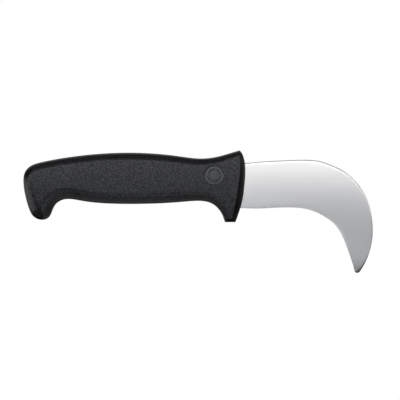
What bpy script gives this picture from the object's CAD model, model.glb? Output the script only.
"""Hook-blade trade knife: a pebbled moulded handle and a satin ground steel hook blade.

The knife lies along X: the handle towards -X, the blade towards +X with its hooked tip
low. Z is up and Y is the thickness; both pieces are mirrored about Y = 0. The camera
looks along +Y. The pieces are sized in millimetres, the lights and camera in metres.
"""

import math
from contextlib import contextmanager

import bmesh
import bpy
import numpy as np
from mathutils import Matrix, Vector, noise


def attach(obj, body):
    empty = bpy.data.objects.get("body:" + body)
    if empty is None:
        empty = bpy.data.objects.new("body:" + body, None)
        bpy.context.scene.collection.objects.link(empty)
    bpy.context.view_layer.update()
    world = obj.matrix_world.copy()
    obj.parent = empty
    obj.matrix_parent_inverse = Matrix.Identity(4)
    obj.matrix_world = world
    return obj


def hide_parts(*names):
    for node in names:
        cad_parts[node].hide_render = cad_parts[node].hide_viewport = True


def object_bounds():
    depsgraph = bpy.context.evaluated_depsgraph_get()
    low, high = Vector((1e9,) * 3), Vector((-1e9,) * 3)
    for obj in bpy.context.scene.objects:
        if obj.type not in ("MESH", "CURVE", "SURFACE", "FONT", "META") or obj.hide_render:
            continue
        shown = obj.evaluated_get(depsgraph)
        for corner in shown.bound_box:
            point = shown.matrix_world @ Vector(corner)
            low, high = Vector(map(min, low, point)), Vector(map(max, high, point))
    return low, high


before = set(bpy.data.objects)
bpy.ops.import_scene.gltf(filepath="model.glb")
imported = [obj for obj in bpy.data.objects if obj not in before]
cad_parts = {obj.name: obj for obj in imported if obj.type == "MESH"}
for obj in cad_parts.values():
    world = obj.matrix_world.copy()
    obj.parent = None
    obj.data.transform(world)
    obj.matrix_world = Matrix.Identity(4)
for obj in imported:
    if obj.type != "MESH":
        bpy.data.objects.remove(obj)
CAD_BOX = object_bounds()
MM = 0.001  # metres

# --------------------------------------------------------------------------
# Handle sizes. Outline points are (x, z).

GUARD_TIP = (23.5, 34.75)
BEAK_TIP = (-88.5, -4.6)
GUARD_FOOT_Z = -5.9
GUARD_FOOT_X = (15.9, 21.1)
FOOT_END = (GUARD_FOOT_X[1], GUARD_FOOT_Z)

# Top and butt outline, from the guard to the beak
TOP = (
    GUARD_TIP,
    (18.8, 33.35), (12.0, 31.4), (2.0, 30.1), (-13.0, 31.7),
    (-39.5, 33.4), (-69.5, 31.4), (-89.0, 28.0), (-94.8, 25.95), (-98.0, 22.6),
    (-99.0, 17.5), (-98.2, 10.5), (-96.2, 2.8), (-93.2, -2.75),
    BEAK_TIP,
)
# Belly outline, from behind the guard's foot to the beak
BELLY = (
    (14.8, -4.9), (14.0, -2.4), (12.0, 1.0), (8.2, 4.4), (2.5, 6.05),
    (-10.0, 5.5), (-39.5, 4.4), (-57.0, 5.05), (-66.0, 6.2), (-74.0, 7.2),
    (-78.5, 6.0), (-81.6, 2.9), (-83.4, -1.4), (-85.3, -3.7),
    BEAK_TIP,
)
FOOT_CORNER_X = 15.05  # pulls the curve from the belly into the guard's foot

# Half widths along Y, and where they change along X
PALM_HALF = 9.6
NECK_HALF = 8.3
GUARD_HALF = 9.4
PALM_ENDS_X = -24.0
NECK_FROM_X, NECK_TO_X = -4.0, 14.8
GUARD_FULL_X = 24.5

# Rounding of the outline: (outline point, distance in from it to the full width)
ROLL = (
    (GUARD_TIP, 3.2),
    ((7.0, 30.5), 4.3),
    ((-4.0, 30.9), 4.7),
    ((-80.0, 29.8), 4.7),
    ((-98.9, 17.5), 5.0),
    ((-97.0, 5.2), 6.6),
    (BEAK_TIP, 8.8),
    ((-82.9, -0.3), 8.4),
    ((-77.0, 6.7), 7.0),
    ((-58.0, 5.25), 6.2),
    ((-10.0, 5.5), 6.2),
    ((3.6, 6.1), 5.4),
    ((12.0, 1.0), 3.4),
    (BELLY[0], 2.4),
    (FOOT_END, 2.3),
)
ROLL_POWER = 2.4

# Middle line of the guard's +X face: (z, x)
FRONT = (
    (GUARD_FOOT_Z, GUARD_FOOT_X[1]),
    (-5.0, 21.5), (-0.5, 23.1), (6.3, 25.1), (13.1, 26.1),
    (19.5, 26.65), (25.5, 26.75), (30.1, 26.0), (33.4, 24.65),
    GUARD_TIP[::-1],
)
# How far that face domes out past its rim: (z, distance)
FRONT_DOME = (
    (GUARD_FOOT_Z, 2.0), (-3.5, 2.5), (4.0, 3.4), (14.0, 3.4), (24.0, 3.0), (30.0, 2.2),
    (GUARD_TIP[1], 0.9),
)
RIM_RADIUS = 0.32
RIM_CURVE = (0.0, 0.22, 0.5, 0.78, 1.0)  # places of the rounding's points along its curve
RIM_ROWS = len(RIM_CURVE)
FRONT_BLEND = (9, 5)  # reach of the rim's bow into the ribs, along the top and the belly

# Ends of the key ribs, from the guard's rim to the beak: (on the top, on the belly)
RIB_KEYS = (
    (GUARD_TIP, FOOT_END),
    ((20.4, 33.9), (17.6, -5.9)),
    ((17.8, 33.05), (15.0, -5.4)),
    ((15.6, 32.4), (14.0, -2.4)),
    ((11.8, 31.35), (10.6, 2.6)),
    ((7.0, 30.5), (5.8, 5.6)),
    ((1.8, 30.1), (0.4, 6.2)),
    ((-12.0, 31.6), (-12.5, 5.5)),
    ((-39.5, 33.4), (-39.5, 4.4)),
    ((-64.0, 32.0), (-62.0, 5.7)),
    ((-79.0, 29.95), (-72.0, 7.15)),
    ((-87.0, 28.45), (-75.0, 7.15)),
    ((-94.4, 26.2), (-77.4, 6.5)),
    ((-98.0, 22.6), (-79.4, 5.35)),
    ((-99.0, 17.5), (-80.9, 3.85)),
    ((-98.2, 10.5), (-82.1, 1.9)),
    ((-96.8, 4.6), (-82.9, -0.2)),
    ((-94.6, -0.8), (-84.0, -2.4)),
    ((-91.9, -3.8), (-85.9, -4.05)),
    (BEAK_TIP, BEAK_TIP),
)
RIB_SPACING = 0.385
CORNER_STEPS, FLANK_STEPS, DOME_STEPS = ((29, 52, 16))

# Round recess on each side of the neck, with a thin ring standing in it
MARK_X, MARK_Z = 9.0, 20.7
MARK_R = 5.4
MARK_DEPTH = 0.35
MARK_RING = (2.9, 3.7)  # inner and outer radius
MARK_RING_DEPTH = 0.2
MARK_STEPS = 96

# Surface detail
GRAIN_DEPTH = 0.035  # mould grain that is in the mesh itself
GRAIN_SIZE = 0.55
GRAIN_BUMP = 0.14  # strength of the grain in the material
SEAM_HEIGHT = 0.035  # parting line round the moulding
SEAM_RINGS_Y = (0.11, 0.26)  # rings that shape it, off the middle plane

# --------------------------------------------------------------------------
# Blade sizes

BLADE_TIP = (89.9, -34.75)
SPINE = (
    (18.0, 27.0), (27.0, 27.6), (38.0, 28.5), (52.0, 29.2), (61.0, 29.4), (68.5, 28.7),
    (75.5, 26.4), (82.0, 23.2), (88.6, 17.7), (94.0, 10.5), (97.25, 2.4), (98.9, -7.5),
    (98.6, -16.0), (96.3, -25.2), (92.6, -32.5), (91.0, -34.45),
    BLADE_TIP,
)
EDGE = (
    (18.0, 2.3), (27.0, 2.0), (34.5, 1.85), (44.5, 2.3), (52.0, 2.4), (58.5, 2.0),
    (64.8, 0.5), (71.0, -2.4), (76.5, -6.3), (80.2, -11.0), (83.0, -16.8),
    (86.0, -24.9), (88.2, -32.0), (88.95, -34.2),
    BLADE_TIP,
)
# Ends of the key ribs, from the root to the tip: (on the spine, on the edge)
BLADE_KEYS = (
    (SPINE[0], EDGE[0]),
    ((27.4, 27.5), (27.4, 2.0)),
    ((37.0, 28.2), (37.0, 1.9)),
    ((41.0, 28.5), (41.0, 2.1)),
    ((52.0, 29.05), (51.0, 2.4)),
    ((62.0, 29.2), (58.5, 2.0)),
    ((75.5, 26.2), (65.0, 0.4)),
    ((86.0, 19.8), (71.0, -2.4)),
    ((93.8, 10.4), (76.5, -6.3)),
    ((97.6, 1.0), (80.2, -11.0)),
    ((98.95, -8.5), (82.6, -15.8)),
    ((98.6, -16.0), (84.6, -21.1)),
    ((96.3, -25.2), (86.5, -26.4)),
    ((93.3, -31.5), (88.0, -31.3)),
    ((91.6, -34.1), (88.85, -34.0)),
    (BLADE_TIP, BLADE_TIP),
)
BLADE_SPACING, BODY_STEPS = ((0.5, 44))

STOCK_HALF = 1.0  # half thicknesses along Y
BEHIND_EDGE_HALF = 0.28
EDGE_HALF = 0.02
GRIND_SLOPE = 0.0279
BEVEL = 1.15  # mean width of the cutting bevel
GROUND_FROM_X, GROUND_FULL_X = 19.0, 33.0
SHARP_FROM_X, SHARP_FULL_X = 37.0, 41.0
ROUNDED_FROM_X, ROUNDED_FULL_X = 20.0, 26.0
SPINE_ROUND, SPINE_ROUND_DEPTH = 0.8, 0.2
FOOT_ROUND, FOOT_ROUND_DEPTH = 0.35, 0.12  # lower edge where it is not sharpened
ROUND_POWER = 1.8
# Rib stations, as shares of the spine rounding and of the bevel
SPINE_STATIONS = np.array((0.0, 0.05, 0.12, 0.22, 0.34, 0.5, 0.68, 1.0))
BEVEL_STATIONS = np.array((0.0, 0.12, 0.3, 0.55, 0.8, 1.0))

TANG_FROM_X = 17.4
TANG_TOP = ((TANG_FROM_X, 24.2), (-20.0, 24.8), (-62.0, 24.8), (-70.0, 23.2), (-73.0, 20.8))
TANG_BASE = ((TANG_FROM_X, 12.4), (-20.0, 13.4), (-62.0, 13.6), (-70.0, 15.2), (-73.0, 17.6))
TANG_GAP = 0.05  # clearance round the moulded-in tang
LOCK_HOLES = ((-4.0, 18.6), (-30.0, 19.1), (-56.0, 19.2))
LOCK_HOLE_R = 3.0


# --------------------------------------------------------------------------
# Plane geometry helpers


def running_total(values):
    return np.concatenate([[0], np.cumsum(values)])


def spline(points, per_span):
    """Natural cubic spline through the points, with spans of chord length to the power 0.75."""
    knots = np.array(points, float)
    chords = np.linalg.norm(np.diff(knots, axis=0), axis=1)
    span = np.diff(running_total(chords**0.75))
    count = len(knots)
    system, load = np.eye(count), np.zeros_like(knots)
    for i in range(1, count - 1):
        system[i, i - 1 : i + 2] = span[i - 1], 2 * (span[i - 1] + span[i]), span[i]
        slope, slope_before = (knots[i + 1] - knots[i]) / span[i], (knots[i] - knots[i - 1]) / span[i - 1]
        load[i] = 6 * (slope - slope_before)
    bend = np.linalg.solve(system, load)
    curve = []
    for i in range(count - 1):
        for share in np.arange(per_span) / per_span:
            done, left = share * span[i], (1 - share) * span[i]
            curve.append(
                (bend[i] * left**3 + bend[i + 1] * done**3) / (6 * span[i])
                + (knots[i] / span[i] - bend[i] * span[i] / 6) * left
                + (knots[i + 1] / span[i] - bend[i + 1] * span[i] / 6) * done
            )
    return np.array([*curve, knots[-1]])


def outline_pair(first, second):
    """One spline out along the first outline and back along the second, cut at their shared tip."""
    whole = spline((*first, *second[-2::-1]), 24)
    split = 24 * (len(first) - 1)
    return whole[: split + 1], whole[split:][::-1]


def lengths(line):
    return running_total(np.linalg.norm(np.diff(line, axis=0), axis=1))


def at_length(line, stops):
    along = lengths(line)
    return np.stack([np.interp(stops, along, line[:, k]) for k in (0, 1)], axis=-1)


def nearest(points, line):
    """Each point's distance to the polyline, and the length along it of the nearest place."""
    points = np.atleast_2d(points)
    start, step = line[:-1], np.diff(line, axis=0)
    square = (step * step).sum(-1)
    dx, dz = points[:, :1] - start[:, 0], points[:, 1:] - start[:, 1]
    share = np.clip((dx * step[:, 0] + dz * step[:, 1]) / square, 0, 1)
    gap = (dx - share * step[:, 0]) ** 2 + (dz - share * step[:, 1]) ** 2
    k = gap.argmin(axis=1)
    rows = np.arange(len(points))
    along = lengths(line)
    return np.sqrt(gap[rows, k]), along[k] + share[rows, k] * np.diff(along)[k]


def smooth(value, low, high):
    share = np.clip((value - low) / (high - low), 0, 1)
    return share * share * (3 - 2 * share)


def stops_along(line, keys):
    """Lengths along the line of the key points, the first and last at its ends."""
    stops = nearest(keys, line)[1]
    stops[0], stops[-1] = 0, lengths(line)[-1]
    return stops


def subdivided(stops, counts):
    parts = [np.linspace(stops[i], stops[i + 1], n + 1)[:-1] for i, n in enumerate(counts)]
    return np.concatenate([*parts, stops[-1:]])


def rib_ends(upper, lower, keys, spacing, least):
    """Matching points along both outlines, close to the spacing between the key ribs."""
    upper_keys, lower_keys = zip(*keys)
    upper_stops, lower_stops = stops_along(upper, upper_keys), stops_along(lower, lower_keys)
    reach = (np.diff(upper_stops) + np.diff(lower_stops)) / 2
    counts = np.maximum(np.round(reach / spacing).astype(int), least)
    upper_ends = at_length(upper, subdivided(upper_stops, counts))
    return upper_ends, at_length(lower, subdivided(lower_stops, counts))


def table(pairs, value):
    """Looks a value up on a smooth curve through the pairs."""
    line = spline(pairs, 12)
    return np.interp(value, line[:, 0], line[:, 1])


def circle(x, z, radius):
    turn = np.arange(40) / 40 * 2 * math.pi
    return [(x + radius * math.cos(a), z + radius * math.sin(a)) for a in turn]


# --------------------------------------------------------------------------
# Mesh helpers


def norms(vectors):
    return np.linalg.norm(vectors, axis=-1, keepdims=True)


def unit(vectors):
    return vectors / np.maximum(norms(vectors), 1e-12)


@contextmanager
def edited(mesh):
    bm = bmesh.new()
    bm.from_mesh(mesh)
    yield bm
    bm.to_mesh(mesh)
    bm.free()


def link_object(name, data):
    obj = bpy.data.objects.new(name, data)
    bpy.context.scene.collection.objects.link(obj)
    return obj


def new_mesh_object(name, verts, faces):
    mesh = bpy.data.meshes.new(name)
    mesh.from_pydata(np.asarray(verts, float) * MM, [], faces)
    mesh.validate()
    return link_object(name, mesh)


def clean(obj):
    """Welds coincident points and drops loose ones."""
    with edited(obj.data) as bm:
        bmesh.ops.remove_doubles(bm, verts=bm.verts, dist=2e-7)
        loose = [v for v in bm.verts if not v.link_faces]
        bmesh.ops.delete(bm, geom=loose, context="VERTS")


def evaluated_mesh(obj):
    bpy.context.view_layer.update()
    graph = bpy.context.evaluated_depsgraph_get()
    return bpy.data.meshes.new_from_object(obj.evaluated_get(graph))


def cut(obj, cutter):
    """Cuts the closed cutter out of the closed object, and drops the cutter."""
    modifier = obj.modifiers.new("Cut", "BOOLEAN")
    modifier.operation = "DIFFERENCE"
    modifier.solver = "MANIFOLD"
    modifier.object = cutter
    mesh = evaluated_mesh(obj)
    old = obj.data
    obj.modifiers.clear()
    obj.data = mesh
    bpy.data.meshes.remove(old)
    bpy.data.objects.remove(cutter)


def plate(name, rings, half):
    """A closed flat plate in the XZ plane; rings inside the first are holes."""
    curve = bpy.data.curves.new(name, "CURVE")
    curve.dimensions = "2D"
    curve.fill_mode = "BOTH"
    curve.extrude = half * MM
    for ring in rings:
        line = curve.splines.new("POLY")
        line.points.add(len(ring) - 1)
        line.use_cyclic_u = True
        for point, (x, z) in zip(line.points, ring):
            point.co = (x * MM, z * MM, 0, 1)
    guide = link_object(name + "_curve", curve)
    guide.rotation_euler = (math.radians(90), 0, 0)
    mesh = evaluated_mesh(guide)
    mesh.transform(guide.matrix_world)
    with edited(mesh) as bm:
        bmesh.ops.remove_doubles(bm, verts=bm.verts, dist=1e-6)
        bmesh.ops.recalc_face_normals(bm, faces=bm.faces)
    flat = link_object(name, mesh)
    bpy.data.objects.remove(guide)
    return flat


def grid_faces(grid, verts, wanted):
    """Quads over a grid of point numbers, all turned to face the wanted direction."""
    corners = [grid[:-1, :-1], grid[:-1, 1:], grid[1:, 1:], grid[1:, :-1]]
    faces = np.stack(corners, axis=-1).reshape(-1, 4)
    at = verts[faces]
    normal = np.cross(at[:, 2] - at[:, 0], at[:, 3] - at[:, 1])
    return faces[:, ::-1].copy() if (normal * wanted).sum() < 0 else faces


def with_mirror(values, off_middle, flip=(1, -1, 1)):
    return np.concatenate([values, values[off_middle] * flip])


def both_sides(verts, faces):
    """The half at y >= 0 and its mirror image, sharing the points on the middle plane."""
    off_middle = np.abs(verts[:, 1]) >= 1e-9
    other = np.arange(len(verts))
    other[off_middle] = len(verts) + np.arange(off_middle.sum())
    faces = np.concatenate([faces, other[faces][:, ::-1]])
    return with_mirror(verts, off_middle), faces, off_middle


def plain_faces(faces):
    """Drops repeated corners, so that a quad that ends in a point becomes a triangle."""
    plain = []
    for face in faces.tolist():
        kept = [p for k, p in enumerate(face) if p != face[k - 1]]
        if len(set(kept)) == len(kept) >= 3:
            plain.append(kept)
    return plain


# --------------------------------------------------------------------------
# Handle form


def handle_outlines():
    """The top, and the guard's foot and belly, both from the guard to the beak."""
    top, belly = outline_pair(TOP, BELLY)
    start, stop = np.array(BELLY[0]), np.array((GUARD_FOOT_X[0], GUARD_FOOT_Z))
    corner = np.array((FOOT_CORNER_X, GUARD_FOOT_Z))
    foot = []
    for s in np.linspace(0, 1, 9)[1:]:
        foot.append((1 - s) ** 2 * start + 2 * s * (1 - s) * corner + s * s * stop)
    for x in np.linspace(*GUARD_FOOT_X, 9)[1:]:
        foot.append((x, GUARD_FOOT_Z))
    return top, np.concatenate([np.array(foot)[::-1], belly])


def half_width(x):
    palm = PALM_HALF + (NECK_HALF - PALM_HALF) * smooth(x, PALM_ENDS_X, NECK_FROM_X)
    return palm + (GUARD_HALF - NECK_HALF) * smooth(x, NECK_TO_X, GUARD_FULL_X)


class HandleForm:
    def __init__(self):
        self.top, self.belly = handle_outlines()
        self.line = np.concatenate([self.top, self.belly[::-1][1:]])
        places, self.roll = zip(*ROLL)
        self.roll_at = stops_along(self.line, places)

    def share(self, points):
        """Distance in from the outline, as a share of the roll there."""
        gap, along = nearest(points, self.line)
        return gap / np.interp(along, self.roll_at, self.roll)

    def height(self, points, share):
        """The side's y at the points."""
        left = np.clip(1 - share, 0, 1)
        return half_width(points[:, 0]) * (1 - left**ROLL_POWER) ** (1 / ROLL_POWER)

    def rim(self, z):
        """The border of the guard's domed face, settled by repeated averaging."""
        middle, dome = table(FRONT, z), table(FRONT_DOME, z)
        x = middle - dome
        for _ in range(14):
            points = np.stack([x, z], axis=1)
            lie = self.height(points, self.share(points)) / half_width(x)
            x = 0.5 * x + 0.5 * (middle - dome * lie**2)
        x[0], x[-1] = middle[0], middle[-1]
        return np.stack([x, z], axis=1)

    def stations(self, path):
        """Points along a rib's path, close together where the surface turns into the outline."""
        share = self.share(path)
        share[0] = share[-1] = 0
        full = min(1.0, 0.97 * share.max())
        wanted = full * (1 - np.cos(np.linspace(0, math.pi / 2, CORNER_STEPS + 1)))
        walk = np.arange(len(path), dtype=float)
        first = np.argmax(share >= full)
        last = len(share) - 1 - np.argmax(share[::-1] >= full)
        head, tail = slice(None, first + 1), slice(None, last - 1, -1)
        down, up = (
            np.interp(wanted, np.maximum.accumulate(share[part]), walk[part])
            for part in (head, tail)
        )
        between = np.linspace(down[-1], up[-1], FLANK_STEPS + 1)[1:-1]
        at = np.concatenate([down, between, up[::-1]])
        return np.stack([np.interp(at, walk, path[:, k]) for k in (0, 1)], axis=1)


def side_ribs():
    """Ribs from the guard's rim to the beak, each running from the top to the belly."""
    form = HandleForm()
    tops, bases = rib_ends(form.top, form.belly, RIB_KEYS, RIB_SPACING, least=3)
    share = (1 - np.cos(np.linspace(0, math.pi, 361))) / 2
    rim = form.rim(GUARD_TIP[1] + (GUARD_FOOT_Z - GUARD_TIP[1]) * share)
    bow = rim - (np.outer(1 - share, rim[0]) + np.outer(share, rim[-1]))
    ribs = []
    for i, (top, base) in enumerate(zip(tops, bases)):
        near_top = 1 - smooth(GUARD_TIP[0] - top[0], 0, FRONT_BLEND[0])
        near_foot = 1 - smooth(GUARD_FOOT_X[1] - base[0], 0, FRONT_BLEND[1])
        near_rim = (1 - share) * near_top + share * near_foot
        path = rim
        if i > 0:
            path = np.outer(1 - share, top) + np.outer(share, base) + bow * near_rim[:, None]
        if np.linalg.norm(top - base) < 1e-6:
            row = np.repeat(top[None], 2 * CORNER_STEPS + FLANK_STEPS + 1, axis=0)
        else:
            row = form.stations(path)
        y = form.height(row, form.share(row))
        y[0] = y[-1] = 0
        ribs.append(np.stack([row[:, 0], y, row[:, 1]], axis=1))
    return np.array(ribs)


def add_seam_rings(side):
    """Two more rings near the middle plane at both ends of the ribs, for the parting line."""

    def beside(end, inner):
        reach = np.maximum(inner[..., 1:2], 1e-9)
        return [end + (inner - end) * np.minimum(y / reach, 0.9) for y in SEAM_RINGS_Y]

    first, last = side[:, :1], side[:, -1:]
    near = beside(first, side[:, 1:2])
    far = beside(last, side[:, -2:-1])[::-1]
    return np.concatenate([first, *near, side[:, 1:-1], *far, last], axis=1)


def guard_dome(rim):
    """The guard's domed +X face, from the rim to its middle line."""
    middle = table(FRONT, rim[:, 2])
    lie = 1 - np.linspace(0, 1, DOME_STEPS + 1)
    dome = np.zeros((len(rim), DOME_STEPS + 1, 3))
    dome[..., 0] = middle[:, None] - (middle - rim[:, 0])[:, None] * lie**2
    dome[..., 1] = rim[:, 1:2] * lie
    dome[..., 2] = rim[:, 2:3]
    return dome


def round_rim(side, dome):
    """Rounds the rim between sides and dome; gives the ribs, and the dome without its border."""

    def radius_towards(vectors):
        return unit(vectors) * np.minimum(RIM_RADIUS, 0.8 * norms(vectors))

    corner = side[0].copy()
    on_side = corner + radius_towards(side[2] - corner)
    on_dome = corner + radius_towards(dome[:, 2] - corner)
    curve = [
        (1 - t) ** 2 * on_side + 2 * t * (1 - t) * corner + t * t * on_dome for t in RIM_CURVE
    ]
    # the first ribs and the dome's first column make way for the rounding
    side[1] = on_side + (side[3] - on_side) / 3
    side[2] = on_side + (side[3] - on_side) * 2 / 3
    dome[:, 1] = on_dome + (dome[:, 2] - on_dome) / 2
    return np.concatenate([np.array(curve)[::-1], side[1:]]), dome[:, 1:]


def handle_faces(points, ribs, dome):
    count, width = ribs.shape[:2]
    grid = np.arange(count * width).reshape(count, width)
    grid[-1] = grid[-1, 0]  # the ribs end in one point at the tip of the beak
    dome_numbers = np.arange(count * width, len(points)).reshape(width, -1)
    dome_grid = np.concatenate([grid[0][:, None], dome_numbers], axis=1)
    for end in (0, -1):
        dome_grid[end] = dome_grid[end, 0]
    side_faces = grid_faces(grid, points, np.array((0.0, 1.0, 0.0)))
    dome_faces = grid_faces(dome_grid, points, np.array((1.0, 0.0, 0.0)))
    return np.concatenate([side_faces, dome_faces])


def seam_offsets(ribs):
    """Lifts the rings on the middle plane a little proud, all round the grained part."""
    row, last = np.arange(len(ribs)), ribs.shape[1] - 1
    fade = smooth(row, RIM_ROWS, RIM_ROWS + 12) * smooth(row[::-1], 2, 12)
    offsets = np.zeros_like(ribs)
    for ring, inner in ((0, 8), (last, last - 8)):
        line = ribs[:, ring]
        along = np.gradient(line, axis=0)
        out = unit(np.stack([-along[:, 2], np.zeros(len(ribs)), along[:, 0]], axis=1))
        inward = ribs[:, inner] - line
        out = np.where(((out * inward).sum(-1, keepdims=True)) > 0, -out, out)
        offsets[:, ring] = out * (SEAM_HEIGHT * fade)[:, None]
    return offsets


def grid_normals(grid):
    """Outward normals of a grid of points, from its neighbours along both directions."""
    normals = unit(np.cross(np.gradient(grid, axis=0), np.gradient(grid, axis=1)))
    return np.where(normals[..., 1:2] < 0, -normals, normals)


def grain_strength(ribs):
    """Grain starts behind the rim, is weak near the middle plane and fades at the beak."""
    y = ribs[..., 1]
    strength = np.clip((np.arange(len(ribs)) - RIM_ROWS + 1) / 3, 0, 1)[:, None]
    strength = strength * (0.35 + 0.65 * smooth(y, 0.5, 5.5)) * smooth(y, 0.2, 1.0)
    strength[-3:] *= 0.3
    return strength


def grain_depth(points, strength):
    """Depth of the mould grain at each point, from 0 to 1: it only ever cuts inwards."""
    depth = np.zeros(len(points))
    for k in np.nonzero(strength > 0.01)[0]:
        at = Vector((points[k] / GRAIN_SIZE).tolist())
        coarse = noise.noise(at)
        fine = noise.noise(at * 1.9 + Vector((7.1, 3.3, 5.7)))
        depth[k] = 0.5 + 0.5 * max(-1.0, min(1.0, 1.5 * coarse + 0.6 * fine))
    return depth


def build_handle():
    side = add_seam_rings(side_ribs())
    ribs, dome = round_rim(side, guard_dome(side[0]))
    points = np.concatenate([ribs.reshape(-1, 3), dome.reshape(-1, 3)])
    faces = handle_faces(points, ribs, dome)
    bare = np.zeros((dome.shape[0] * dome.shape[1], 3))  # the dome has no seam and no grain
    offsets = np.concatenate([seam_offsets(ribs).reshape(-1, 3), bare])
    outward = np.concatenate([grid_normals(ribs).reshape(-1, 3), bare])
    strength = np.concatenate([grain_strength(ribs).reshape(-1), bare[:, 0]])

    points, faces, off_middle = both_sides(points, faces)
    offsets = with_mirror(offsets, off_middle)
    outward = with_mirror(outward, off_middle)
    strength = with_mirror(strength, off_middle, flip=1)
    grain = strength * grain_depth(points, strength) * GRAIN_DEPTH
    points = points + offsets - outward * grain[:, None]
    handle = new_mesh_object("handle_moulding", points, plain_faces(faces))
    clean(handle)

    cut(handle, tang_pocket())
    for side_sign in (1, -1):
        cut(handle, mark_cutter(side_sign))
    return handle


def tang_pocket():
    """Room for the tang and blade root, with pillars of plastic left through the tang's holes."""
    gap = TANG_GAP
    spine, edge = spline(SPINE, 8), spline(EDGE, 8)
    root_x = np.array((TANG_FROM_X - gap, 22.0, 27.0, 31.0))
    top = [(x, np.interp(x, spine[:, 0], spine[:, 1]) + gap) for x in root_x[::-1]]
    base = [(x, np.interp(x, edge[:, 0], edge[:, 1]) - gap) for x in root_x]
    # only the ends of the tang's outline need clearance along X
    ends = (0, len(TANG_TOP) - 1)
    upper = [(x - gap * (k in ends), z + gap) for k, (x, z) in enumerate(TANG_TOP)]
    lower = [(x - gap * (k in ends), z - gap) for k, (x, z) in enumerate(TANG_BASE)]
    outline = [*top, *upper, *lower[::-1], *base]
    pillars = [circle(x, z, LOCK_HOLE_R - gap) for x, z in LOCK_HOLES]
    return plate("tang_pocket", [outline, *pillars], STOCK_HALF + gap)


def mark_profile():
    """The mark cutter's (radius, y), from outside the neck in to the middle of the floor."""
    floor_y, ring_y = NECK_HALF - MARK_DEPTH, NECK_HALF - MARK_RING_DEPTH
    mouth, lip = MARK_R + 0.2, 0.06
    profile = [(mouth, NECK_HALF + 2), (mouth, NECK_HALF + 0.02), (mouth, NECK_HALF - lip)]
    for t in np.linspace(0.15, 1, 7):  # the wall sweeps down into the floor
        turn = t * math.pi / 2
        radius = MARK_R + 0.18 - 0.62 * (1 - math.cos(turn)) - 0.06 * t
        profile.append((radius, NECK_HALF - lip - (MARK_DEPTH - lip) * math.sin(turn)))
    profile += [(MARK_R - 0.56, floor_y), (MARK_R - 0.64, floor_y)]
    # the ring's wall: (distance outside its edge, y), the same on both of its edges
    wall = (
        (0.20, floor_y), (0.12, floor_y), (0.06, floor_y + 0.03),
        (-0.16, ring_y - 0.03), (-0.22, ring_y), (-0.28, ring_y),
    )
    inner, outer = MARK_RING
    profile += [(outer + out, y) for out, y in wall]
    profile += [(inner - out, y) for out, y in wall[::-1]]
    return profile


def mark_cutter(side):
    """A turned cutter for the dished recess and its ring, on the +Y or -Y side."""
    profile, steps = mark_profile(), MARK_STEPS
    verts, faces = [(MARK_X, side * profile[0][1], MARK_Z)], []
    for radius, y in profile:
        for k in range(steps):
            a = 2 * math.pi * k / steps
            verts.append((MARK_X + radius * math.cos(a), side * y, MARK_Z + radius * math.sin(a)))
    verts.append((MARK_X, side * profile[-1][1], MARK_Z))
    end = 1 + (len(profile) - 1) * steps
    for k in range(steps):
        after = (k + 1) % steps
        faces.append((0, 1 + k, 1 + after))
        for row in range(1, end, steps):
            below = row + steps
            faces.append((row + k, below + k, below + after, row + after))
        faces.append((end + k, len(verts) - 1, end + after))
    cutter = new_mesh_object("mark_cutter", verts, faces)
    with edited(cutter.data) as bm:
        bmesh.ops.recalc_face_normals(bm, faces=bm.faces)
    return cutter


# --------------------------------------------------------------------------
# Blade form


def bevel_width(along):
    """The cutting bevel's width along the edge, a little uneven as a belt leaves it."""
    wander = 0.05 * np.sin(along * 0.31 + 0.7)
    wander = wander + 0.035 * np.sin(along * 0.83 + 2.1) + 0.02 * np.sin(along * 1.9)
    return BEVEL * (1 + wander)


def rounding(gap, reach, depth):
    return depth * np.clip(1 - gap / reach, 0, 1) ** ROUND_POWER


def grind_half(from_edge):
    return BEHIND_EDGE_HALF + GRIND_SLOPE * (from_edge - BEVEL)


def blade_height(points, spine, edge):
    """Half thickness of the blade at the points."""
    x = points[:, 0]
    from_spine, _ = nearest(points, spine)
    from_edge, along = nearest(points, edge)
    width = bevel_width(along)
    sharp = smooth(x, SHARP_FROM_X, SHARP_FULL_X)
    flat = grind_half(from_edge)
    keen = EDGE_HALF + (grind_half(width) - EDGE_HALF) * from_edge / width
    flat = np.where(from_edge < width, flat + (keen - flat) * sharp, flat)
    ground = smooth(x, GROUND_FROM_X, GROUND_FULL_X)
    y = STOCK_HALF + (np.minimum(flat, STOCK_HALF) - STOCK_HALF) * ground
    fade = smooth(x, ROUNDED_FROM_X, ROUNDED_FULL_X)
    rolled = rounding(from_spine, SPINE_ROUND, SPINE_ROUND_DEPTH) * fade
    foot = rounding(from_edge, FOOT_ROUND, FOOT_ROUND_DEPTH) * fade * (1 - sharp)
    return np.maximum(y - rolled - foot, EDGE_HALF)


def reach_past(start, stop, line, width_at, farthest, fallback):
    """Length of rib from the start until it is a given width away from the line."""
    share = np.linspace(0, farthest, 120)
    gap, along = nearest(start + np.outer(share, stop - start), line)
    over = gap >= width_at(along)
    return np.linalg.norm(stop - start) * (share[over.argmax()] if over.any() else fallback)


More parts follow.
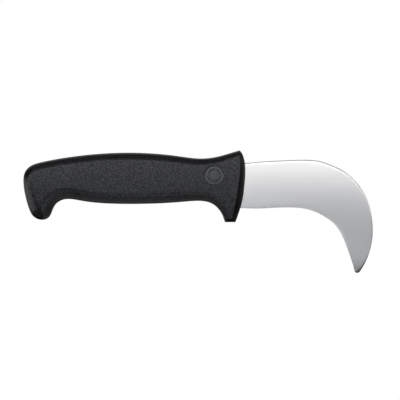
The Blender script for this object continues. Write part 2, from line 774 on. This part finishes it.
def blade_ribs(spine, edge):
    """Rows of (x, z) from spine to edge, from the root to the tip, and their half thicknesses."""
    rows, heights = [], []
    for top, base in zip(*rib_ends(spine, edge, BLADE_KEYS, BLADE_SPACING, least=4)):
        size = np.linalg.norm(top - base)
        if size < 1e-6:
            count = len(SPINE_STATIONS) + BODY_STEPS - 1 + len(BEVEL_STATIONS)
            rows.append(np.repeat(top[None], count, axis=0))
            heights.append(np.full(count, EDGE_HALF))
            continue
        bevel = reach_past(base, top, edge, bevel_width, farthest=0.55, fallback=0.4)
        round_off = reach_past(
            top, base, spine, lambda along: SPINE_ROUND, farthest=0.4, fallback=0.35
        )
        start = SPINE_STATIONS * round_off
        end = size - bevel * BEVEL_STATIONS[::-1]
        body = np.linspace(start[-1], end[0], BODY_STEPS + 1)[1:-1]
        path = top + np.outer(np.concatenate([start, body, end]) / size, base - top)
        rows.append(path)
        heights.append(blade_height(path, spine, edge))
    return np.array(rows), np.array(heights)


def add_tang(rows, heights):
    """Puts the tang, flat stock with square edges, before the blade's ribs."""
    share = np.linspace(0, 1, rows.shape[1])
    ends = zip(np.array(TANG_TOP)[::-1], np.array(TANG_BASE)[::-1])
    tang = np.array([top + np.outer(share, base - top) for top, base in ends])
    flat = np.full(tang.shape[:2], STOCK_HALF)
    return np.concatenate([tang, rows]), np.concatenate([flat, heights])


def build_blade(spine, edge):
    rows, heights = add_tang(*blade_ribs(spine, edge))
    # each rib begins and ends on the middle plane
    count, width = rows.shape[0], rows.shape[1] + 2
    points = np.zeros((count, width, 3))
    points[..., (0, 2)] = np.pad(rows, ((0, 0), (1, 1), (0, 0)), mode="edge")
    points[:, 1:-1, 1] = heights
    verts = points.reshape(-1, 3)
    grid = np.arange(count * width).reshape(count, width)
    grid[-1, 1:-1] = grid[-1, 1]  # the ribs close at the tip
    grid[-1, -1] = grid[-1, 0]
    half_faces = grid_faces(grid, verts, np.array((0.0, 1.0, 0.0)))
    verts, faces, _ = both_sides(verts, half_faces)

    # one face closes the tang's end, turned to face -X
    mirror_faces = faces[len(half_faces) :, ::-1]
    other = dict(zip(half_faces.reshape(-1), mirror_faces.reshape(-1)))
    loop = [*range(1, width), *(other[p] for p in range(width - 2, 0, -1)), 0]
    origin, first, second = (verts[loop[k]] for k in (0, width // 3, width))
    butt = loop if np.cross(first - origin, second - origin)[0] < 0 else loop[::-1]
    blade = new_mesh_object("steel_blade", verts, [*plain_faces(faces), butt])
    clean(blade)
    for x, z in LOCK_HOLES:
        cut(blade, plate("lock_hole", [circle(x, z, LOCK_HOLE_R)], 3.0))
    return blade


# --------------------------------------------------------------------------
# Materials


class Nodes:
    """A short hand for building a material's nodes."""

    def __init__(self, name):
        self.material = bpy.data.materials.new(name)
        self.material.use_nodes = True
        self.tree = self.material.node_tree
        self.shader = self.tree.nodes["Principled BSDF"]

    def feed(self, node, inputs):
        """Links or sets the node's inputs, given by name or number."""
        for key, value in inputs.items():
            if isinstance(value, bpy.types.NodeSocket):
                self.tree.links.new(value, node.inputs[key])
            else:
                node.inputs[key].default_value = value

    def add(self, kind, inputs=None, **settings):
        node = self.tree.nodes.new(kind)
        for key, value in settings.items():
            setattr(node, key, value)
        self.feed(node, inputs or {})
        return node

    def surface(self, inputs):
        self.feed(self.shader, inputs)

    def math(self, operation, *values, clamp=False):
        inputs = dict(enumerate(values))
        return self.add("ShaderNodeMath", inputs, operation=operation, use_clamp=clamp).outputs[0]

    def plus(self, a, b):
        return self.math("ADD", a, b)

    def times(self, value, gain):
        return self.math("MULTIPLY", value, gain)

    def swing(self, value, gain):
        """The value's swing about one half, scaled."""
        return self.times(self.math("SUBTRACT", value, 0.5), gain)

    def ramp(self, value, low, high, to_low=0.0, to_high=1.0):
        inputs = {
            "Value": value, "From Min": low, "From Max": high, "To Min": to_low, "To Max": to_high
        }
        settings = {"interpolation_type": "SMOOTHSTEP", "clamp": True}
        return self.add("ShaderNodeMapRange", inputs, **settings).outputs["Result"]

    def position(self, scale=(1000, 1000, 1000)):
        """The place on the object, in millimetres unless scaled otherwise."""
        coords = self.add("ShaderNodeTexCoord").outputs["Object"]
        return self.add("ShaderNodeMapping", {"Vector": coords, "Scale": scale}).outputs["Vector"]

    def noise(self, vector, scale, detail=2.0, roughness=0.5, distortion=0.0):
        inputs = {
            "Vector": vector, "Scale": scale, "Detail": detail,
            "Roughness": roughness, "Distortion": distortion,
        }
        return self.add("ShaderNodeTexNoise", inputs).outputs["Fac"]

    def mix(self, factor, low, high):
        """A colour between the two; the Mix node's colour sockets are found by number."""
        inputs = {"Factor": factor, 6: (*low, 1), 7: (*high, 1)}
        return self.add("ShaderNodeMix", inputs, data_type="RGBA").outputs[2]

    def bump(self, height, strength, distance):
        inputs = {"Strength": strength, "Distance": distance, "Height": height}
        self.surface({"Normal": self.add("ShaderNodeBump", inputs).outputs["Normal"]})

    def height_of(self, vector):
        return self.add("ShaderNodeSeparateXYZ", {0: vector}).outputs["Z"]


PLASTIC_TINT = (0.90, 0.935, 1.0, 1.0)


def grained_plastic(name):
    """Black polypropylene with fine pebbled mould grain."""
    nodes = Nodes(name)
    at = nodes.position()
    split = nodes.add("ShaderNodeSeparateXYZ", {0: at})
    off_middle = nodes.math("ABSOLUTE", split.outputs["Y"])
    cloud = nodes.noise(at, scale=0.045, detail=3, roughness=0.55)
    cells = nodes.add(
        "ShaderNodeTexVoronoi",
        {"Vector": at, "Scale": 1.15, "Smoothness": 0.35, "Randomness": 1.0},
        feature="SMOOTH_F1",
        distance="EUCLIDEAN",
    )
    pebble = nodes.ramp(cells.outputs["Distance"], low=0.10, high=0.70, to_low=1.0, to_high=0.0)
    coarse = nodes.noise(at, scale=0.95, detail=2, roughness=0.6)
    fine = nodes.noise(at, scale=2.6, detail=3, roughness=0.65)
    # height is a weighted sum of the pebbles and both noises
    height = nodes.plus(nodes.times(pebble, gain=0.45), nodes.times(coarse, gain=0.85))
    height = nodes.plus(height, nodes.times(fine, gain=0.35))
    fade = nodes.ramp(off_middle, low=0.2, high=5.0, to_low=0.45, to_high=1.0)
    nodes.bump(height, strength=nodes.times(fade, GRAIN_BUMP), distance=0.00014)
    high = nodes.ramp(height, low=0.55, high=1.05)
    # base roughness, varied by the cloud and the fine noise
    rough = nodes.plus(0.25, nodes.times(cloud, gain=0.06))
    nodes.surface({
        "Base Color": nodes.mix(high, low=(0.0036, 0.0037, 0.0042), high=(0.0088, 0.0090, 0.0098)),
        "Roughness": nodes.plus(rough, nodes.times(fine, gain=0.08)),
        "Specular IOR Level": nodes.ramp(height, low=0.50, high=1.05, to_low=0.305, to_high=0.55),
        "Specular Tint": PLASTIC_TINT,
    })
    return nodes.material


def smooth_plastic(name, sheen):
    """The same plastic from a plain mould surface: more sheen is lighter and less rough."""
    nodes = Nodes(name)
    at = nodes.position()
    cloud = nodes.noise(at, scale=0.045, detail=3, roughness=0.55)
    nodes.bump(nodes.noise(at, scale=2.2), strength=0.25, distance=0.00002)
    dark, light = (
        [sheen * c for c in tone] for tone in ((0.0055, 0.0058, 0.0068), (0.0080, 0.0084, 0.0096))
    )
    least_rough = max(0.18, 0.66 - 0.46 * sheen)
    nodes.surface({
        "Base Color": nodes.mix(cloud, low=dark, high=light),
        "Roughness": nodes.plus(least_rough, nodes.times(cloud, gain=0.08)),
        "Specular IOR Level": 0.62 * sheen**1.5,
        "Specular Tint": PLASTIC_TINT,
    })
    return nodes.material


def ground_steel(name, bump, dark, light, roughness):
    """Stainless steel with fine grinding lines along X."""
    nodes = Nodes(name)
    # position scales are low along X, which draws the noise out into lines
    lines = nodes.noise(nodes.position((9, 900, 5200)), scale=1.0, detail=4, roughness=0.62)
    scratches = nodes.noise(
        nodes.position((34, 900, 14000)), scale=1.0, detail=3, roughness=0.7, distortion=0.15
    )
    bands = nodes.noise(nodes.position((5, 300, 700)), scale=1.0)
    cloud = nodes.noise(nodes.position(), scale=0.05, detail=3)
    marks = nodes.plus(nodes.times(lines, gain=0.6), nodes.times(scratches, gain=0.4))
    nodes.bump(marks, strength=bump, distance=0.000012)
    value = nodes.plus(nodes.swing(marks, gain=0.22), nodes.swing(bands, gain=0.10))
    tone = nodes.math("ADD", 0.5, value, clamp=True)
    rough = nodes.plus(roughness, nodes.swing(marks, gain=0.16))
    nodes.surface({
        "Base Color": nodes.mix(tone, dark, light),
        "Metallic": 1.0,
        "Roughness": nodes.plus(rough, nodes.times(cloud, gain=0.04)),
        "Anisotropic": 0.55,
        "Tangent": nodes.add("ShaderNodeCombineXYZ", {0: 1.0}).outputs[0],
    })
    return nodes.material


def set_materials(mesh, *materials):
    mesh.materials.clear()
    for material in materials:
        mesh.materials.append(material)


def face_vectors(mesh, key):
    values = np.empty(len(mesh.polygons) * 3)
    mesh.polygons.foreach_get(key, values)
    return values.reshape(-1, 3)


def set_face_slots(mesh, slots):
    mesh.polygons.foreach_set("material_index", slots.astype(np.int32))
    mesh.update()


def paint_handle(mesh):
    """Slot 0 is grain, 1 the guard's +X face and the tang pocket, 2 the round marks."""
    set_materials(
        mesh,
        grained_plastic("handle_grain"),
        smooth_plastic("handle_front", sheen=0.4),
        smooth_plastic("handle_mark", sheen=1.04),
    )
    x, y, z = (face_vectors(mesh, "center") / MM).T
    faces_x = face_vectors(mesh, "normal")[:, 0]
    front = (x > 18) & (faces_x > 0.42) & (z < 34.6)
    mark = np.hypot(x - MARK_X, z - MARK_Z) < MARK_R + 0.19
    mark &= np.abs(y) < NECK_HALF - 0.005
    pocket = np.abs(y) < STOCK_HALF + 0.2
    pocket &= (z > 1.0) & (z < 28.5) & (x > -74) & (x < 25)
    set_face_slots(mesh, np.where(mark, 2, front | pocket))


def paint_blade(mesh, edge):
    """Slot 0 is the satin side, 1 the cutting bevel."""
    satin = {"bump": 0.35, "dark": (0.60, 0.605, 0.615), "light": (0.86, 0.86, 0.865)}
    bevel = {"bump": 0.2, "dark": (0.86, 0.865, 0.87), "light": (0.97, 0.97, 0.97)}
    set_materials(
        mesh,
        ground_steel("blade_satin", roughness=0.30, **satin),
        ground_steel("blade_bevel", roughness=0.52, **bevel),
    )
    centre = face_vectors(mesh, "center") / MM
    gap, along = nearest(centre[:, (0, 2)], edge)
    set_face_slots(mesh, (gap < bevel_width(along)) & (centre[:, 0] > SHARP_FROM_X + 1.5))


# --------------------------------------------------------------------------
# Pieces


def keep_inside(mesh):
    """Brings back the few points that detail has pushed past the frame's box."""
    points = np.empty(len(mesh.vertices) * 3)
    mesh.vertices.foreach_get("co", points)
    points = np.clip(points.reshape(-1, 3), np.array(CAD_BOX[0]), np.array(CAD_BOX[1]))
    mesh.vertices.foreach_set("co", points.reshape(-1))
    mesh.update()


def shade(mesh, sharp_degrees):
    mesh.shade_smooth()
    mesh.set_sharp_from_angle(angle=math.radians(sharp_degrees))


handle = build_handle()
keep_inside(handle.data)
paint_handle(handle.data)
shade(handle.data, sharp_degrees=38)
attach(handle, "root")
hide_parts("handle")

blade_spine, blade_edge = outline_pair(SPINE, EDGE)
blade = build_blade(blade_spine, blade_edge)
keep_inside(blade.data)
paint_blade(blade.data, blade_edge)
shade(blade.data, sharp_degrees=9)
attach(blade, "root")
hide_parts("blade")

# --------------------------------------------------------------------------
# Floor, light and camera, in metres

low, high = CAD_BOX
FLOOR_Z = low[2] - 0.0012
FLOOR_HALF = 1.2


def build_floor():
    """A pale floor that glows to the camera, and is darker and brighter by viewing angle."""
    mesh = bpy.data.meshes.new("floor")
    corners = ((-1, -1), (1, -1), (1, 1), (-1, 1))
    verts = [(x * FLOOR_HALF, y * FLOOR_HALF, FLOOR_Z) for x, y in corners]
    mesh.from_pydata(verts, [], [(0, 1, 2, 3)])
    floor = link_object("floor", mesh)
    nodes = Nodes("floor")
    to_camera = nodes.add("ShaderNodeLightPath").outputs["Is Camera Ray"]
    steepness = nodes.height_of(nodes.add("ShaderNodeNewGeometry").outputs["Incoming"])
    glow = nodes.ramp(steepness, low=0.05, high=0.20, to_low=1.0, to_high=0.42)
    steep = nodes.ramp(steepness, low=0.05, high=0.20)
    nodes.surface({
        "Base Color": nodes.mix(nodes.times(to_camera, steep), low=(0.12,) * 3, high=(0.82,) * 3),
        "Roughness": 0.9,
        "Specular IOR Level": 0.1,
        "Emission Color": (1, 1, 1, 1),
        "Emission Strength": nodes.times(to_camera, glow),
    })
    mesh.materials.append(nodes.material)
    return floor


def build_world():
    """White to the camera, but only a faint light on the knife."""
    world = bpy.data.worlds.new("studio")
    bpy.context.scene.world = world
    world.use_nodes = True
    nodes, link = world.node_tree.nodes, world.node_tree.links.new
    faint, seen = nodes["Background"], nodes.new("ShaderNodeBackground")
    for background, strength in ((faint, 0.05), (seen, 1.0)):
        background.inputs["Color"].default_value = (1, 1, 1, 1)
        background.inputs["Strength"].default_value = strength
    mix = nodes.new("ShaderNodeMixShader")
    link(nodes.new("ShaderNodeLightPath").outputs["Is Camera Ray"], mix.inputs["Fac"])
    link(faint.outputs[0], mix.inputs[1])
    link(seen.outputs[0], mix.inputs[2])
    link(mix.outputs[0], nodes["World Output"].inputs["Surface"])


def softbox(name, place, target, size, power, colour, lit):
    """An area light, unseen by the camera, that lights only the given objects."""
    light = bpy.data.lights.new(name, "AREA")
    light.shape = "RECTANGLE"
    light.size, light.size_y = size
    light.energy = power
    light.color = colour
    obj = bpy.data.objects.new(name, light)
    obj.location = place
    aim = Vector(target) - Vector(place)
    obj.rotation_euler = aim.to_track_quat("-Z", "Y").to_euler()
    obj.visible_camera = False
    bpy.context.scene.collection.objects.link(obj)
    receivers = bpy.data.collections.new(name + "_lit")
    for receiver in lit:
        receivers.objects.link(receiver)
    obj.light_linking.receiver_collection = receivers


floor = build_floor()
build_world()

KNIFE, HANDLE, BLADE, FLOOR = (handle, blade), (handle,), (blade,), (floor,)
WHITE = (1, 1, 1)

# Long level strips on the camera's side: (z, power, colour)
FRONT_STRIPS = (
    (-0.015, 0.001, (0.93, 0.97, 1.0)),
    (0.015, 0.0438, (0.95, 0.965, 1.0)),
    (0.045, 0.160, (1.0, 0.978, 0.94)),
    (0.075, 0.002, (1.0, 0.985, 0.97)),
    (0.105, 0.040, (1.0, 0.985, 0.97)),
)
for k, (z, power, colour) in enumerate(FRONT_STRIPS):
    place, target = (-0.08, -0.17, z), (-0.08, 0.0, z)
    softbox(f"front_{k}", place, target, (0.50, 0.03), power, colour, KNIFE)

# Name, place, target, size, power, colour and the objects lit
SOFTBOXES = (
    ("low_front", (-0.05, -0.12, -0.030), (-0.05, 0.0, 0.10),
     (0.42, 0.06), 0.030, (0.88, 0.94, 1.0), BLADE),
    ("low_left", (-0.150, -0.032, -0.0065), (0.0, -0.032, -0.0065),
     (0.105, 0.053), 0.022, (1.0, 0.99, 0.97), KNIFE),
    ("left_back", (-0.165, 0.07, -0.004), (-0.099, 0.0, 0.0),
     (0.10, 0.055), 0.0058, WHITE, HANDLE),
    ("beak_card", (-0.117, -0.03, -0.034), (-0.117, -0.03, 0.0),
     (0.05, 0.08), 0.0020, WHITE, HANDLE),
    ("upper", (-0.05, -0.16, 0.20), (-0.05, 0.0, 0.03), (0.50, 0.13), 0.085, WHITE, KNIFE),
    ("top", (0.0, 0.02, 0.32), (0.0, 0.0, 0.0), (0.6, 0.12), 0.08, WHITE, KNIFE),
    ("under", (-0.039, 0.0175, -0.034), (-0.039, 0.0175, 0.0),
     (0.088, 0.055), 0.0050, WHITE, KNIFE),
    ("under_front", (-0.039, -0.036, -0.0345), (-0.039, -0.036, 0.0),
     (0.088, 0.055), 0.0076, WHITE, KNIFE),
    ("low_card", (0.02, -0.125, -0.0335), (0.02, -0.125, 0.0),
     (0.14, 0.12), 0.016, WHITE, KNIFE),
    ("grip_card", (-0.03, -0.105, -0.033), (-0.03, -0.105, 0.0),
     (0.11, 0.08), 0.025, WHITE, HANDLE),
    ("tip_card", (0.085, -0.068, -0.0335), (0.085, -0.068, 0.0),
     (0.10, 0.06), 0.0100, WHITE, BLADE),
    ("right_card", (0.165, -0.05, -0.0335), (0.165, -0.05, 0.0),
     (0.11, 0.14), 0.013, WHITE, BLADE),
    ("behind", (0.0, 0.30, 0.20), (0.0, 0.0, -0.02), (0.6, 0.16), 0.095, WHITE, KNIFE),
    ("rear_card", (0.02, 0.29, -0.0335), (0.02, 0.29, 0.0), (0.44, 0.32), 0.16, WHITE, KNIFE),
    # along the rounded spine
    ("right", (0.25, -0.14, 0.015), (0.095, 0.0, 0.015), (0.07, 0.07), 0.012, WHITE, BLADE),
    ("right_far", (0.60, -0.28, 0.12), (0.0, 0.0, 0.0), (0.30, 0.30), 0.060, WHITE, KNIFE),
    ("side_back", (0.75, 0.45, 0.12), (0.02, 0.0, 0.01), (0.35, 0.30), 0.50, WHITE, HANDLE),
    # on the bevel
    ("hook", (-0.03, -0.165, -0.016), (-0.03, 0.0, -0.016),
     (0.10, 0.028), 0.0042, (1.0, 0.985, 0.95), BLADE),
    ("overhead", (0.0, 0.0, 0.70), (0.0, 0.0, 0.0), (0.8, 0.8), 0.5, WHITE, FLOOR),
)
for row in SOFTBOXES:
    softbox(*row)

VIEW_WIDTH = 0.22668  # width seen at the knife
VIEW_OFFSET_X, VIEW_OFFSET_Z = 0.00107673, 0.00663039  # camera from the middle of the box
CAMERA_DISTANCE = 2.2
SENSOR_WIDTH = 36.0  # millimetres


def build_camera():
    data = bpy.data.cameras.new("camera")
    camera = link_object("camera", data)
    data.sensor_width = SENSOR_WIDTH
    data.lens = SENSOR_WIDTH * CAMERA_DISTANCE / VIEW_WIDTH
    data.clip_start = 0.05
    data.clip_end = 20.0
    x, _, z = ((a + b) / 2 for a, b in zip(low, high))
    camera.location = (x + VIEW_OFFSET_X, -CAMERA_DISTANCE, z + VIEW_OFFSET_Z)
    camera.rotation_euler = (math.radians(90), 0, 0)
    bpy.context.scene.camera = camera
    bpy.context.scene.view_settings.view_transform = "Standard"
    bpy.context.scene.view_settings.look = "None"


build_camera()
